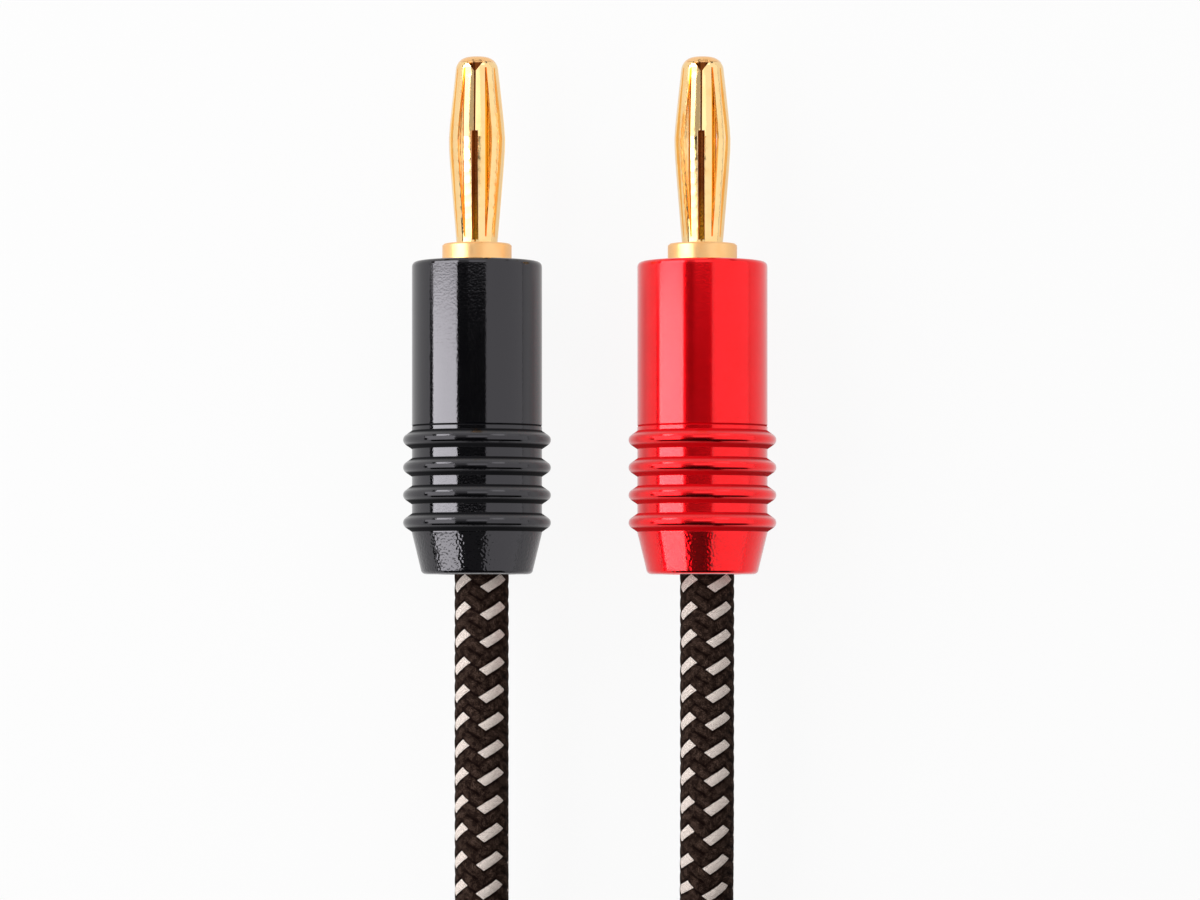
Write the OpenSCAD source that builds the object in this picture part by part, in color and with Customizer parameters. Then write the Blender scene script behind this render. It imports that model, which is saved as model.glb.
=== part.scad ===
// Pair of braided speaker leads, one black and one red, each with a screw-shell
// banana plug at both ends. The pair lies on a flat surface at z = 0: the two near
// plugs side by side with their tips along +Y, the spare lead wound in one round
// coil behind them, and the two far plugs lying on top of the coil, tips along -Y.
// Lengths along a plug are counted backwards from the front face of its shell.

/* [Lead pair] */
// Distance between the axes of the two near plugs
near_pitch = 19.05; // [14:0.05:26]
// Distance between the axes of the two far plugs
far_pitch = 13.5; // [13.2:0.1:17]
// Distance from the origin to the front face of each shell, along Y
front_y = 63.4; // [62:0.1:66]
// Diameter over the braid of one lead
lead_d = 4.6; // [4:0.05:4.7]
// Diameter of the insulation under the braid
insulation_d = 3.6; // [3:0.1:3.9]
// Diameter of the stranded conductor
conductor_d = 2.6; // [2:0.1:2.7]
// Length of insulation left bare of braid
insulation_len = 3; // [1:0.1:3.5]
// Gap between the barrel and the insulation, where strands show
strand_gap = 1; // [0.5:0.1:1.5]
// How far each lead lies to one side of the plug's axis where it leaves the shell
lead_offset = 0.4; // [0:0.05:0.45]
// Length of the shrunk band on the cut end of the braid
band_len = 2.4; // [1.5:0.1:2.6]
// Wall of the shrunk band
band_wall = 0.3; // [0.2:0.05:0.6]

/* [Contact] */
// Length of the pin in front of the collar
pin_len = 15.8; // [13:0.1:18]
// Diameter of the solid core under the spring
core_d = 2.4; // [2.1:0.05:2.5]
// Diameter of the core's foot, which centres the back of the spring
foot_d = 2.94; // [2.7:0.02:2.98]
// Length of the core's foot
foot_len = 1.2; // [0.5:0.1:2]
// Diameter of the domed cap that traps the spring
cap_d = 3.18; // [3:0.02:3.4]
// Height of the domed cap
cap_len = 0.5; // [0.4:0.05:0.9]
// How far in from its edge the cap's dome reaches
dome_reach = 1; // [0.4:0.05:1.2]
// Diameter of the collar that shows in front of the shell
collar_d = 5.86; // [5:0.02:6.8]
// Length of the collar
collar_len = 1.5; // [0.8:0.1:3]
// Diameter over the thread of the boss
boss_d = 7; // [6.8:0.1:7.4]
// Length of the threaded boss
boss_len = 4.5; // [3:0.1:5]
// Diameter of the wire barrel behind the boss
barrel_d = 6.2; // [5.6:0.1:6.4]
// Length of the wire barrel
barrel_len = 9; // [8:0.1:9.4]
// Diameter of the wire hole in the barrel
wire_hole_d = 2.8; // [2.75:0.05:3.2]
// Depth of the wire hole
wire_hole_depth = 7.5; // [7:0.1:8.5]
// Chamfer on the turned edges of the contact
edge_chamfer = 0.15; // [0.05:0.01:0.3]

/* [Lantern spring] */
// Number of leaves around the spring
leaf_count = 12; // [8:1:14]
// Thickness of the rolled sheet
sheet_t = 0.22; // [0.15:0.01:0.25]
// Outside diameter of the rolled end bands
spring_end_d = 3.46; // [3.4:0.02:3.8]
// Outside diameter at the bulge of the leaves
spring_mid_d = 4.76; // [4:0.02:5.2]
// Distance of the bulge from the collar
bulge_at = 8.7; // [6:0.1:10]
// Width of one leaf at its ends
leaf_w = 0.8; // [0.6:0.02:0.82]
// Width of one leaf at the bulge
leaf_waist = 0.58; // [0.4:0.02:0.8]
// Length of each end band
end_band = 0.5; // [0.4:0.05:1]
// Length over which the front of the spring turns in
curl_len = 0.45; // [0.3:0.05:0.7]
// How far the front of the spring turns in
curl_drop = 0.13; // [0.05:0.01:0.16]
// Width of the rolled sheet's seam where its edges nearly meet
seam_w = 0.16; // [0.1:0.02:0.2]
// Width of the seam's open stretch, next to the collar
slot_w = 0.56; // [0.3:0.02:0.7]
// Length of the seam's open stretch
slot_len = 9.4; // [6:0.1:11]
// Width of the notch at the front of the seam
notch_w = 1.4; // [0.4:0.1:1.6]
// Depth of that notch
notch_len = 0.8; // [0.2:0.05:1]
// How far the seam is turned from the top of the pin, in degrees
seam_turn = -4; // [-30:1:30]
// End play of the spring between the collar and the cap
spring_play = 0.03; // [0.02:0.01:0.1]

/* [Set screws] */
// Thread diameter of a set screw
screw_d = 2.5; // [2:0.1:2.6]
// Distance from the front of the shell to the first set screw
screw_at = 7.9; // [7.8:0.1:8.4]
// Distance between the two set screws
screw_pitch = 3.3; // [2.8:0.1:3.6]
// Width across the flats of the hexagon socket
socket_af = 1.3; // [0.9:0.05:1.5]
// Depth of the hexagon socket
socket_depth = 0.9; // [0.4:0.05:1.1]
// How far a set screw sits below the barrel's surface
screw_sink = 0.15; // [0.05:0.05:0.3]

/* [Shell] */
// Length of the shell
shell_len = 26.4; // [25.6:0.1:27.4]
// Diameter of the plain barrel of the shell
shell_d = 11; // [10.4:0.1:11.6]
// Diameter over the grip rings
ring_d = 12.5; // [12:0.1:13]
// Number of grip rings
ring_count = 4; // [2:1:4]
// Distance from one grip ring to the next
ring_pitch = 2.33; // [2:0.05:2.4]
// Width of a grip ring at its foot
ring_w = 1.55; // [1.2:0.05:1.8]
// Radius of a grip ring's crest
ring_crest = 0.5; // [0.2:0.05:0.6]
// Clear length between the last grip ring and the taper
ring_clear = 0.08; // [0.02:0.02:0.4]
// Diameter at the tail of the shell
tail_d = 9.5; // [8.8:0.1:10.4]
// Length of the tapered tail
tail_len = 3.5; // [2.4:0.1:3.6]
// Rounding of the front and tail edges
edge_round = 0.42; // [0.2:0.02:0.6]
// Depth of the fine groove ahead of the grip rings
groove_depth = 0.08; // [0.04:0.01:0.2]
// Distance from the first grip ring to the fine groove
groove_ahead = 1.17; // [0.9:0.05:2]
// Diameter of the bore behind the shell's thread
bore_d = 8.5; // [8.2:0.1:9]
// Depth of the shell's thread
thread_len = 4.7; // [4:0.1:5.2]
// Diameter of the hole in the shell's tail
tail_hole_d = 6.7; // [6.4:0.1:7]
// Thickness of the shell's tail wall
tail_wall = 2.4; // [1.6:0.1:3]

/* [Liner] */
// Inside diameter of the insulating liner
liner_hole_d = 6.7; // [6.5:0.1:7]
// Thickness of the liner's end wall
liner_wall = 1.4; // [0.8:0.1:1.6]
// How far the liner's neck stays inside the tail face
neck_sink = 0.5; // [0.2:0.1:0.8]

/* [Clearances] */
// Radial running clearance between parts that turn or slide
run_gap = 0.05; // [0.02:0.01:0.08]
// Radial clearance of the lead in the liner's neck
lead_gap = 0.09; // [0.03:0.01:0.1]
// End clearance between the liner and the shell
end_gap = 0.1; // [0.05:0.05:0.3]
// Height at which the far plugs lie clear of the coil
rest_gap = 0.35; // [0.2:0.05:0.6]

/* [Coil] */
// Mean radius of the coil's turns
coil_r = 27; // [26:0.5:28]
// Turns side by side in each layer
coil_columns = 4; // [4:1:4]
// Layers of turns
coil_layers = 6; // [6:1:7]
// Air between turns that lie side by side
turn_gap = 0.12; // [0:0.02:0.2]
// Width of the strap that ties the coil
tie_w = 9; // [6:0.5:12]
// Thickness of the strap
tie_t = 0.9; // [0.6:0.1:1.4]
// Where the strap sits round the coil, in degrees from +X
tie_angle = -60; // [-75:1:-40]

/* [Hidden] */
$fn = 48;

gold = [0.93, 0.72, 0.38];
black_shell = [0.07, 0.07, 0.08];
red_shell = [0.8, 0.05, 0.08];
nylon = [0.92, 0.91, 0.87];
steel = [0.6, 0.6, 0.62];
copper = [0.8, 0.45, 0.28];
braid_dark = [0.14, 0.1, 0.09];
rubber_dark = [0.06, 0.06, 0.06];

// Places along a plug, backwards from the shell's front face
barrel_end = boss_len + barrel_len;
insulation_start = barrel_end + strand_gap;
braid_start = insulation_start + insulation_len;
band_overhang = 0.3;
hole_end = barrel_end - wire_hole_depth;
conductor_play = 0.2;
liner_start = max(thread_len, boss_len + run_gap) + end_gap;
liner_end = shell_len - tail_wall - end_gap;
neck_end = shell_len - neck_sink;
taper_start = shell_len - tail_len;
last_ring = taper_start - ring_clear - ring_w / 2;
first_ring = last_ring - (ring_count - 1) * ring_pitch;
groove_at = first_ring - groove_ahead;

// Radii that fit one another
core_r = core_d / 2;
thread_r = boss_d / 2 + run_gap;
liner_r = bore_d / 2 - run_gap;
neck_r = tail_hole_d / 2 - run_gap;
lead_hole_r = lead_d / 2 + lead_offset + lead_gap;

// Heights and places of the plugs
near_z = ring_d / 2;
coil_h = coil_layers * lead_d;
far_z = coil_h + rest_gap + ring_d / 2;
near_x = near_pitch / 2;
far_x = far_pitch / 2;
braid_y = front_y - braid_start;

// Size and place of the coil
coil_side = 7;
coil_back = 8;
coil_x = coil_r - coil_side;
coil_y = -(coil_r + coil_back);
coil_half_w = ((coil_columns - 1) * (lead_d + turn_gap) + lead_d) / 2;

// Routes of the four stretches of lead between a plug and the coil.
lead_sides = 10;
// The first three points of each stretch lie inside the plug
inner_y = braid_y - band_len;
neck_y = front_y - (liner_end - liner_wall) + 0.4;
black_x = -near_x + lead_offset;
red_x = near_x + lead_offset;
black_near_route = [
    [-near_x, braid_y, near_z], [-near_x, inner_y, near_z], [black_x, neck_y, near_z],
    [black_x, 16, near_z], [black_x, 11, 6], [black_x, 6, 5.2], [black_x, 1, 4],
    [black_x, -4, 2.9], [black_x, -8, 2.4], [black_x, -14, 2.3],
    [-9.4, -17.6, 2.3], [-10.6, -21.2, 2.3], [-13.4, -29.1, 2.3]
];
red_near_route = [
    [near_x, braid_y, near_z], [near_x, inner_y, near_z], [red_x, neck_y, near_z],
    [red_x, 19, near_z], [red_x, 15, 5.9], [red_x, 11, 4.8], [red_x, 7, 3.4],
    [red_x, 3.5, 2.4], [9.9, 0.3, 2.3], [9, -4.2, 2.3],
    [6.5, -8.5, 2.3], [3.4, -10.8, 2.3], [-2.4, -16.2, 2.3]
];
black_far_x = far_x - lead_offset;
red_far_x = -far_x - lead_offset;
black_far_route = [
    [46.6, -47.4, 25.3], [49, -39.9, 25.5], [49, -30, 26.3], [45.6, -20.6, 27.7],
    [39.3, -12.9, 29.4], [30.6, -7.8, 31.2], [21.4, -5.7, 32.5], [15.7, -6.5, 33.3],
    [10.5, -9.8, 33.9], [7.2, -14.9, 34.1], [black_far_x, -20, far_z],
    [black_far_x, -neck_y, far_z], [far_x, -inner_y, far_z], [far_x, -braid_y, far_z]
];
red_far_route = [
    [53.4, -29.1, 25.3], [51.1, -21.2, 25.6], [46, -13.2, 26.3], [39, -7, 27.4],
    [29.8, -2.6, 29], [20, -1.1, 30.7], [9.5, -2.8, 32.3], [0.7, -7.1, 33.5],
    [-4.3, -11.3, 34], [-6.5, -15.5, 34.2], [red_far_x, -20, far_z],
    [red_far_x, -neck_y, far_z], [-far_x, -inner_y, far_z], [-far_x, -braid_y, far_z]
];

// Points of an arc about [x, y], from angle a to angle b in n steps
function arc(x, y, r, a, b, n) =
    [for (i = [0:n]) let (t = a + (b - a) * i / n) [x + r * cos(t), y + r * sin(t)]];

// Outside radius of the spring's leaves at distance s in front of the collar. They rise
// nearly straight from both ends and turn over softly at the bulge.
spring_start = spring_play;
spring_end = pin_len - cap_len - spring_play;
crest_ease = 0.12;
function slope(t) =
    1 - (sqrt(pow(1 - t, 2) + pow(crest_ease, 2)) - crest_ease)
        / (sqrt(1 + pow(crest_ease, 2)) - crest_ease);
function bow(s) =
    s < bulge_at
        ? slope((s - spring_start) / (bulge_at - spring_start))
        : slope((spring_end - s) / (spring_end - bulge_at));
curl_from = spring_end - curl_len;
function curl(s) = s > curl_from ? curl_drop * pow((s - curl_from) / curl_len, 2) : 0;
function leaf_r(s) =
    spring_end_d / 2 + (spring_mid_d - spring_end_d) / 2 * bow(s) - curl(s);

// Turns a profile [radius, distance behind the shell's face] about the plug's axis,
// which runs along Y with the tip towards +Y
module turned(profile) {
    rotate([90, 0, 0])
        rotate_extrude()
            polygon(profile);
}

// Puts a plug's part at the near end or the far end of the black or the red lead
module place(near, side) {
    if (near)
        translate([side * near_x, front_y, near_z])
            children();
    else
        translate([-side * far_x, -front_y, far_z])
            rotate([0, 0, 180])
                children();
}

// Gold-plated contact: cored pin with a domed cap, collar, threaded boss and wire barrel
module contact() {
    cap_start = -(collar_len + pin_len - cap_len);
    tip = -(collar_len + pin_len);
    shoulder = 30;
    dome = [for (i = [0:5])
        let (t = shoulder + (90 - shoulder) * i / 5)
        [cap_d / 2 - dome_reach * (1 - cos(t) / cos(shoulder)),
         tip + cap_len * (1 - sin(t)) / (1 - sin(shoulder))]];
    color(gold)
        difference() {
            turned(concat(
                [[0, barrel_end], [barrel_d / 2 - edge_chamfer, barrel_end],
                 [barrel_d / 2, barrel_end - edge_chamfer], [barrel_d / 2, boss_len],
                 [boss_d / 2 - edge_chamfer, boss_len], [boss_d / 2, boss_len - edge_chamfer],
                 [boss_d / 2, edge_chamfer], [boss_d / 2 - edge_chamfer, 0],
                 [collar_d / 2, 0], [collar_d / 2, -collar_len + edge_chamfer],
                 [collar_d / 2 - edge_chamfer, -collar_len], [foot_d / 2, -collar_len],
                 [foot_d / 2, -(collar_len + foot_len)], [core_r, -(collar_len + foot_len)],
                 [core_r, cap_start]],
                dome,
                [[0, tip]]
            ));
            wire_hole();
            for (i = [0:1])
                screw_hole(screw_at + i * screw_pitch);
        }
}

// Blind hole for the conductor, open at the back of the barrel
module wire_hole() {
    over = 1;
    translate([0, -hole_end, 0])
        rotate([90, 0, 0])
            cylinder(d = wire_hole_d, h = wire_hole_depth + over);
}

// Cross hole for one set screw, from the wire hole up through the barrel's wall
module screw_hole(at) {
    over = 1;
    translate([0, -at, 0])
        cylinder(d = screw_d, h = barrel_d / 2 + over);
}

// Lantern spring: sheet rolled into a sleeve and slit into leaves that bow outwards.
// Its seam is wide open next to the collar and nearly shut towards the cap.
module spring() {
    steps = 15;
    stations = concat(
        [for (i = [0:steps]) spring_start + (curl_from - spring_start) * i / steps],
        [for (i = [1:3]) curl_from + curl_len * i / 3]
    );
    outer = [for (s = stations) [leaf_r(s), -(collar_len + s)]];
    inner = [for (i = [len(outer) - 1:-1:0]) [outer[i][0] - sheet_t, outer[i][1]]];
    color(gold)
        rotate([0, seam_turn, 0])
            difference() {
                intersection() {
                    turned(concat(outer, inner));
                    union() {
                        for (i = [0:leaf_count - 1])
                            rotate([0, 360 * (i + 0.5) / leaf_count, 0])
                                leaf();
                        seam_edges();
                        end_ring(spring_start);
                        end_ring(spring_end - end_band);
                    }
                }
                seam();
            }
}

// Plan of one leaf, narrowest at the bulge
module leaf() {
    half = leaf_w / 2;
    waist = leaf_waist / 2;
    bulge_y = collar_len + bulge_at;
    tip_y = collar_len + pin_len;
    linear_extrude(spring_mid_d)
        polygon([[-half, collar_len], [half, collar_len], [waist, bulge_y],
                 [half, tip_y], [-half, tip_y], [-waist, bulge_y]]);
}

// Sheet that narrows the gap between the two leaves beside the seam
module seam_edges() {
    w = 1;
    translate([-w / 2, collar_len + slot_len, 0])
        cube([w, pin_len - cap_len - slot_len, spring_mid_d]);
}

// What is cut away along the seam: a thin line, its open stretch and the front notch
module seam() {
    reach = spring_mid_d;
    front = collar_len + spring_end;
    translate([-seam_w / 2, collar_len, 0])
        cube([seam_w, pin_len, reach]);
    translate([-slot_w / 2, collar_len + end_band / 2, 0])
        cube([slot_w, slot_len - end_band / 2, reach]);
    linear_extrude(reach)
        polygon([[-notch_w / 2, front + 0.01], [notch_w / 2, front + 0.01],
                 [seam_w / 2, front - notch_len], [-seam_w / 2, front - notch_len]]);
}

// Solid disc over one rolled end band of the spring, starting at distance s
module end_ring(s) {
    translate([0, collar_len + s + end_band, 0])
        rotate([90, 0, 0])
            cylinder(d = spring_mid_d + 1, h = end_band);
}

// Two set screws with hexagon sockets, in line along the barrel
module set_screws() {
    seat = conductor_d / 2;
    top = barrel_d / 2 - screw_sink;
    socket_r = socket_af / sqrt(3);
    color(steel)
        for (i = [0:1])
            translate([0, -(screw_at + i * screw_pitch), 0])
                difference() {
                    translate([0, 0, seat])
                        cylinder(d = screw_d, h = top - seat);
                    translate([0, 0, top - min(socket_depth, (top - seat) * 0.7)])
                        cylinder(r = socket_r, h = socket_depth + 1, $fn = 6);
                }
}

// Bare stranded conductor, from inside the barrel to the braid's cut end
module conductor() {
    start = hole_end + conductor_play;
    color(copper)
        turned([[0, start], [conductor_d / 2 - edge_chamfer, start],
                [conductor_d / 2, start + edge_chamfer], [conductor_d / 2, braid_start],
                [0, braid_start]]);
}

// Insulation that shows between the barrel and the cut end of the braid
module insulation() {
    hole_r = conductor_d / 2 + run_gap / 2;
    color(rubber_dark)
        turned([[hole_r, insulation_start], [insulation_d / 2, insulation_start],
                [insulation_d / 2, braid_start], [hole_r, braid_start]]);
}

// Shrunk band that keeps the cut end of the braid from fraying
module band() {
    in_r = lead_d / 2 + run_gap / 2;
    out_r = lead_d / 2 + band_wall;
    start = braid_start - band_overhang;
    stop = min(start + band_len, liner_end - liner_wall - end_gap);
    color(rubber_dark)
        turned([[in_r, start], [out_r, start], [out_r, stop], [in_r, stop]]);
}

// Profile of one grip ring between its feet, front to back
function grip_ring(at) =
    let (
        top = ring_d / 2,
        foot = shell_d / 2,
        crest = min(ring_crest, top - foot),
        lean = 35
    )
    concat(
        [[foot, at - ring_w / 2]],
        arc(top - crest, at, crest, -90 + lean, 90 - lean, 6),
        [[foot, at + ring_w / 2]]
    );

// Turned and anodised shell with four grip rings, a front thread and a tapered tail
module shell(tint) {
    front_arc = arc(shell_d / 2 - edge_round, edge_round, edge_round, -90, 0, 4);
    tail_arc = arc(tail_d / 2 - edge_round, shell_len - edge_round, edge_round, 0, 90, 4);
    rings = [for (i = [0:ring_count - 1]) each grip_ring(first_ring + i * ring_pitch)];
    groove = [[shell_d / 2, groove_at - groove_depth],
              [shell_d / 2 - groove_depth, groove_at],
              [shell_d / 2, groove_at + groove_depth]];
    bore_r = bore_d / 2;
    bore_end = shell_len - tail_wall;
    color(tint)
        turned(concat(
            [[thread_r, 0]],
            front_arc,
            groove,
            rings,
            [[shell_d / 2, taper_start]],
            tail_arc,
            [[tail_hole_d / 2, shell_len], [tail_hole_d / 2, bore_end],
             [bore_r, bore_end], [bore_r, thread_len], [thread_r, thread_len]]
        ));
}

// Insulating liner: sleeve inside the shell, with a neck that guides the lead
module liner() {
    wall_start = liner_end - liner_wall;
    color(nylon)
        turned([[liner_hole_d / 2, liner_start], [liner_r, liner_start],
                [liner_r, liner_end], [neck_r, liner_end], [neck_r, neck_end],
                [lead_hole_r, neck_end], [lead_hole_r, wall_start],
                [liner_hole_d / 2, wall_start]]);
}

// Direction of a route at its point i
function heading(route, i) =
    let (
        a = route[max(i - 1, 0)],
        b = route[min(i + 1, len(route) - 1)],
        along = i == 0 ? route[1] - route[0]
            : i == len(route) - 1 ? route[i] - route[i - 1]
            : b - a
    )
    along / norm(along);

// Ring of points round the route at its point i
function lead_ring(route, i) =
    let (
        ahead = heading(route, i),
        across = cross(ahead, [0, 0, 1]),
        side = across / norm(across),
        up = cross(side, ahead)
    )
    [for (k = [0:lead_sides - 1])
        let (t = 360 * k / lead_sides)
        route[i] + lead_d / 2 * (side * cos(t) + up * sin(t))];

// Plain tube of the lead's diameter along a route
module lead(route) {
    n = len(route);
    m = lead_sides;
    skin = [for (i = [0:n - 1]) each lead_ring(route, i)];
    sides = [for (i = [0:n - 2], k = [0:m - 1])
        let (a = i * m + k, b = i * m + (k + 1) % m)
        each [[a, b, b + m], [a, b + m, a + m]]];
    front = [[for (k = [m - 1:-1:0]) k]];
    back = [[for (k = [0:m - 1]) (n - 1) * m + k]];
    color(braid_dark)
        polyhedron(points = skin, faces = concat(sides, front, back));
}

// Outer shape of the wound turns
module coil() {
    translate([coil_x, coil_y, 0])
        color(braid_dark)
            rotate_extrude($fn = 96)
                translate([coil_r - coil_half_w, 0])
                    square([2 * coil_half_w, coil_h]);
}

// Strap round the turns at one place, drawn level with the floor underneath
module tie() {
    reach = coil_r + coil_half_w + 2 * tie_t;
    translate([coil_x, coil_y, 0])
        rotate([0, 0, tie_angle])
            color(rubber_dark)
                intersection() {
                    rotate_extrude($fn = 96)
                        difference() {
                            translate([coil_r - coil_half_w - tie_t, 0])
                                square([2 * (coil_half_w + tie_t), coil_h + 2 * tie_t]);
                            translate([coil_r - coil_half_w, tie_t])
                                square([2 * coil_half_w, coil_h]);
                        }
                    translate([0, -tie_w / 2, -tie_t])
                        cube([reach, tie_w, coil_h + 4 * tie_t]);
                }
}

module black_near_contact() { place(true, -1) contact(); }
module black_near_spring() { place(true, -1) spring(); }
module black_near_shell() { place(true, -1) shell(black_shell); }
module black_near_liner() { place(true, -1) liner(); }
module black_near_set_screws() { place(true, -1) set_screws(); }
module black_near_conductor() { place(true, -1) conductor(); }
module black_near_insulation() { place(true, -1) insulation(); }
module black_near_band() { place(true, -1) band(); }
module red_near_contact() { place(true, 1) contact(); }
module red_near_spring() { place(true, 1) spring(); }
module red_near_shell() { place(true, 1) shell(red_shell); }
module red_near_liner() { place(true, 1) liner(); }
module red_near_set_screws() { place(true, 1) set_screws(); }
module red_near_conductor() { place(true, 1) conductor(); }
module red_near_insulation() { place(true, 1) insulation(); }
module red_near_band() { place(true, 1) band(); }
module black_far_contact() { place(false, -1) contact(); }
module black_far_spring() { place(false, -1) spring(); }
module black_far_shell() { place(false, -1) shell(black_shell); }
module black_far_liner() { place(false, -1) liner(); }
module black_far_set_screws() { place(false, -1) set_screws(); }
module black_far_conductor() { place(false, -1) conductor(); }
module black_far_insulation() { place(false, -1) insulation(); }
module black_far_band() { place(false, -1) band(); }
module red_far_contact() { place(false, 1) contact(); }
module red_far_spring() { place(false, 1) spring(); }
module red_far_shell() { place(false, 1) shell(red_shell); }
module red_far_liner() { place(false, 1) liner(); }
module red_far_set_screws() { place(false, 1) set_screws(); }
module red_far_conductor() { place(false, 1) conductor(); }
module red_far_insulation() { place(false, 1) insulation(); }
module red_far_band() { place(false, 1) band(); }
module black_near_lead() { lead(black_near_route); }
module red_near_lead() { lead(red_near_route); }
module black_far_lead() { lead(black_far_route); }
module red_far_lead() { lead(red_far_route); }
module lead_coil() { coil(); }
module coil_tie() { tie(); }

black_near_contact();
black_near_spring();
black_near_shell();
black_near_liner();
black_near_set_screws();
black_near_conductor();
black_near_insulation();
black_near_band();
red_near_contact();
red_near_spring();
red_near_shell();
red_near_liner();
red_near_set_screws();
red_near_conductor();
red_near_insulation();
red_near_band();
black_far_contact();
black_far_spring();
black_far_shell();
black_far_liner();
black_far_set_screws();
black_far_conductor();
black_far_insulation();
black_far_band();
red_far_contact();
red_far_spring();
red_far_shell();
red_far_liner();
red_far_set_screws();
red_far_conductor();
red_far_insulation();
red_far_band();
black_near_lead();
red_near_lead();
black_far_lead();
red_far_lead();
lead_coil();
coil_tie();
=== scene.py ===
"""Looks of a pair of braided speaker leads with screw-shell banana plugs.

The classes that make meshes and the camera hold their lengths in millimetres, as the part's source
does. The finishes and the lights hold theirs in metres, and noise scales are features to a metre.
"""
import logging
import math
from collections.abc import Callable, Iterable, Sequence
from dataclasses import dataclass, field
from enum import Enum
from typing import Any, TypeVar

import bpy
import numpy as np
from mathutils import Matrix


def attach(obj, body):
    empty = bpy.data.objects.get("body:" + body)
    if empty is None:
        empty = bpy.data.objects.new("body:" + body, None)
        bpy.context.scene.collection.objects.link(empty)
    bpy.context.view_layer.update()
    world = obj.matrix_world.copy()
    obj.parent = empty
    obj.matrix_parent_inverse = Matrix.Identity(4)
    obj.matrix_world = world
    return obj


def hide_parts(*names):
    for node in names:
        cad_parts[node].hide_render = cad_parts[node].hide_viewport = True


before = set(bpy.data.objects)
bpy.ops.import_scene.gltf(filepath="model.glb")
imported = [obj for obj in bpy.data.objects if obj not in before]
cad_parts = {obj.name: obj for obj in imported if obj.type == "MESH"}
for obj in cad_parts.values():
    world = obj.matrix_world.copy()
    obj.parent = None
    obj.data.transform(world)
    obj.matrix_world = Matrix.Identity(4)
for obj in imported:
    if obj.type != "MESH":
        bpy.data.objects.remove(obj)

MM = 0.001
LOG = logging.getLogger("speaker_leads")
Number = int | float
Colour = tuple[float, float, float]
Point = tuple[float, float, float]


class Side(Enum):
    """The two leads of the pair."""

    BLACK = "black"
    RED = "red"


class End(Enum):
    """The two ends of a lead: near is the one in the photograph."""

    NEAR = "near"
    FAR = "far"


# Shader maths


class Value:
    """A number that varies over a surface, as the output socket of a shader node."""

    def __init__(self, graph: "Graph", socket: bpy.types.NodeSocket) -> None:
        """Wraps a socket.

        Args:
            graph: The graph that the socket's node belongs to.
            socket: The output socket that carries the value.
        """
        self.graph = graph
        self.socket = socket

    def _with(self, operation: str, *others: "Value | Number", flip: bool = False) -> "Value":
        """Adds one Math node.

        Args:
            operation: The Math node's operation.
            others: The values after this one.
            flip: Whether this value goes last.

        Returns:
            The node's result.
        """
        terms = [self, *others]
        if flip:
            terms.reverse()
        return self.graph.node(
            "ShaderNodeMath", {"operation": operation}, dict(enumerate(terms))
        )

    def __add__(self, other: "Value | Number") -> "Value":
        """This value plus another."""
        return self._with("ADD", other)

    __radd__ = __add__

    def __sub__(self, other: "Value | Number") -> "Value":
        """This value less another."""
        return self._with("SUBTRACT", other)

    def __rsub__(self, other: Number) -> "Value":
        """A number less this value."""
        return self._with("SUBTRACT", other, flip=True)

    def __mul__(self, other: "Value | Number") -> "Value":
        """This value times another."""
        return self._with("MULTIPLY", other)

    __rmul__ = __mul__

    def __truediv__(self, other: "Value | Number") -> "Value":
        """This value over another."""
        return self._with("DIVIDE", other)

    def __mod__(self, other: Number) -> "Value":
        """The remainder, which is never negative."""
        return self._with("FLOORED_MODULO", other)

    def __lt__(self, other: "Value | Number") -> "Value":
        """1 where this value is less, else 0."""
        return self._with("LESS_THAN", other)

    def __gt__(self, other: "Value | Number") -> "Value":
        """1 where this value is greater, else 0."""
        return self._with("GREATER_THAN", other)

    def __pow__(self, other: Number) -> "Value":
        """This value to a power."""
        return self._with("POWER", other)

    def __abs__(self) -> "Value":
        """This value without its sign."""
        return self._with("ABSOLUTE")

    def floor(self) -> "Value":
        """The whole number at or below this value."""
        return self._with("FLOOR")

    def sine(self) -> "Value":
        """The sine of this value, taken in radians."""
        return self._with("SINE")

    def most(self, other: "Value | Number") -> "Value":
        """The larger of two values."""
        return self._with("MAXIMUM", other)

    def ramp(self, low: Number, high: Number, start: Number = 0.0, stop: Number = 1.0) -> "Value":
        """A smooth step between two levels.

        Args:
            low: Where the step starts.
            high: Where it ends.
            start: The result at and before low.
            stop: The result at and after high.

        Returns:
            The stepped value.
        """
        return self.graph.node(
            "ShaderNodeMapRange",
            {"interpolation_type": "SMOOTHSTEP"},
            {0: self, 1: low, 2: high, 3: start, 4: stop},
        )


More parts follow.
